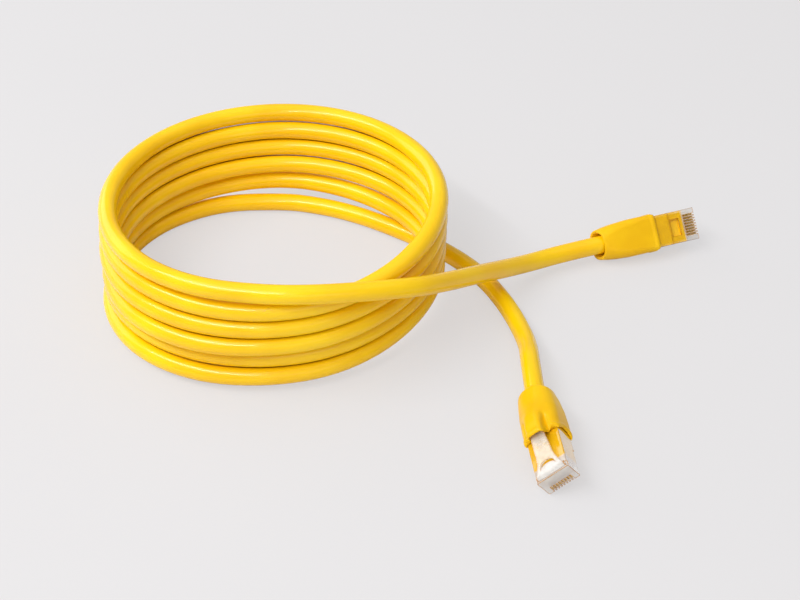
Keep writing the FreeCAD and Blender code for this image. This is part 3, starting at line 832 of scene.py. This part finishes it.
def latch_knuckle():
    # the round bar that the arm turns on
    mesh = bpy.data.meshes.new("latch_knuckle")
    work = bmesh.new()
    bar = bmesh.ops.create_cone(work, cap_ends=True, segments=KNUCKLE_SIDES, radius1=KNUCKLE_RADIUS,
                                radius2=KNUCKLE_RADIUS, depth=2 * LATCH_ROOT,
                                matrix=Matrix.Rotation(math.pi / 2, 4, "X"))
    rims = {e for v in bar["verts"] for e in v.link_edges if any(len(f.verts) > 4 for f in e.link_faces)}
    bmesh.ops.bevel(work, geom=list(rims), offset=LATCH_EDGE, segments=2, affect="EDGES")
    bmesh.ops.recalc_face_normals(work, faces=work.faces)
    work.to_mesh(mesh)
    work.free()
    return mesh


def joined(first, second):
    # one closed mesh from two that overlap
    a = new_object("join_a", first)
    b = new_object("join_b", second)
    union = a.modifiers.new("union", "BOOLEAN")
    union.operation = "UNION"
    union.solver = "EXACT"
    union.object = b
    mesh = bpy.data.meshes.new_from_object(a.evaluated_get(bpy.context.evaluated_depsgraph_get()))
    for part in (a, b):
        bpy.data.objects.remove(part)
    return mesh


def add_latch(end):
    mesh = joined(latch_arm(), latch_knuckle())
    for v in mesh.vertices:
        v.co = latch_place(end, *v.co)
    mesh.flip_normals()                  # back, sideways and up are left-handed, which mirrored the mesh
    smooth(mesh)
    mesh.set_sharp_from_angle(angle=math.radians(CREASE_ANGLE))
    mesh.materials.clear()
    mesh.materials.append(clear_plastic("clear_latch", end, nose_milk=0.6, body_milk=0.35,
                                        body_colour=LATCH_WHITE, patchy=1.8))
    latch = new_object("latch_arm_" + end, mesh)
    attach(latch, "latch_" + end)
    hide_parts("latch_" + end)
    return latch


# The plug's other pieces keep their shape

def dress(name, material, rounding=0.0, ends=ENDS):
    for end in ends:
        node = nodes[name + "_" + end]
        if not node.data.materials:
            node.data.materials.append(material)
        for slot in node.material_slots:
            slot.link = "OBJECT"
            slot.material = material
        if rounding:
            bevel = node.modifiers.new("edges", "BEVEL")
            bevel.width = rounding * MM
            bevel.segments = 2
            bevel.limit_method = "ANGLE"
            bevel.angle_limit = math.radians(EDGE_ANGLE)
            bevel.harden_normals = True


def dress_all(jacket):
    moulding = moulded("moulding_pvc", BOOT_DARK, BOOT_LIGHT, 0.16, 0.3, coat=0.3)
    dress("inner_moulding", moulding, MOULDING_ROUND)
    for end in ENDS:
        # the housing's rear is painted yellow: painted refraction of the moulding seen through the clear
        # walls
        shell = clear_plastic("clear_polycarbonate", end, nose_milk=0.55, body_milk=0.7,
                              body_colour=HOUSING_REFRACTION_YELLOW, patchy=0.4)
        dress("plug_housing", shell, HOUSING_ROUND, [end])
    dress("load_bar", moulded("load_bar_milky", BAR_DARK, BAR_LIGHT, 0.15, 0.3), BAR_ROUND)
    dress("contact_blades", gold())
    dress("pair_separator", moulded("separator_pe", SEPARATOR_DARK, SEPARATOR_LIGHT, 0.4, 0.6))
    dress("jacket_end", jacket)
    for colour, (dark, light) in WIRE_COLOURS.items():
        dress("wire_pair_" + colour, moulded("wire_" + colour, dark, light, 0.3, 0.5))


# Floor and light

def add_floor():
    mesh = bpy.data.meshes.new("floor")
    corners = [(-FLOOR_HALF, -FLOOR_HALF, 0), (FLOOR_HALF, -FLOOR_HALF, 0),
               (FLOOR_HALF, FLOOR_HALF, 0), (-FLOOR_HALF, FLOOR_HALF, 0)]
    mesh.from_pydata(corners, [], [(0, 1, 2, 3)])
    floor = new_object("floor", mesh)
    material, tree, shader = new_material("floor_paint")
    paint = ramp(tree, noise(tree, scale=4.0), [(0.3, FLOOR_DARK), (0.7, FLOOR_LIGHT)])
    tree.links.new(paint, shader.inputs["Base Color"])
    shader.inputs["Roughness"].default_value = 0.9
    shader.inputs["Specular IOR Level"].default_value = 0.1
    even = tree.nodes.new("ShaderNodeEmission")
    even.inputs["Color"].default_value = (*FLOOR_GLOW, 1)
    seen = tree.nodes.new("ShaderNodeLightPath").outputs["Is Camera Ray"]
    lit = mixed(tree, linked_math(tree, "MULTIPLY", seen, FLOOR_EVEN), shader, even)
    tree.links.new(lit.outputs["Shader"], surface_of(tree))
    mesh.materials.append(material)


def add_room():
    world = bpy.data.worlds.new("room")
    bpy.context.scene.world = world
    world.use_nodes = True
    tree = world.node_tree
    back = tree.nodes["Background"]
    back.inputs["Color"].default_value = (*ROOM_COLOUR, 1)
    seen = tree.nodes.new("ShaderNodeLightPath").outputs["Is Camera Ray"]
    tree.links.new(linked_math(tree, "MULTIPLY_ADD", seen, ROOM_SEEN, ROOM_LIGHT), back.inputs["Strength"])


def add_lamps():
    for name, place, size, watts in LAMPS:
        data = bpy.data.lights.new(name, "AREA")
        data.shape = "RECTANGLE"
        data.size, data.size_y = size
        data.energy = watts
        lamp = new_object(name, data)
        lamp.location = place
        lamp.rotation_euler = (-Vector(place)).to_track_quat("-Z", "Y").to_euler()


def main():
    bpy.context.scene.view_settings.view_transform = "Standard"
    add_camera()
    jacket = jacket_skin()
    rubber = moulded("boot_pvc", BOOT_DARK, BOOT_LIGHT, 0.24, 0.38, gloss=0.2)
    boots = {end: add_boot(end, rubber) for end in ENDS}
    latches = {end: add_latch(end) for end in ENDS}
    add_cord(jacket)
    dress_all(jacket)
    add_floor()
    add_room()
    add_lamps()


main()
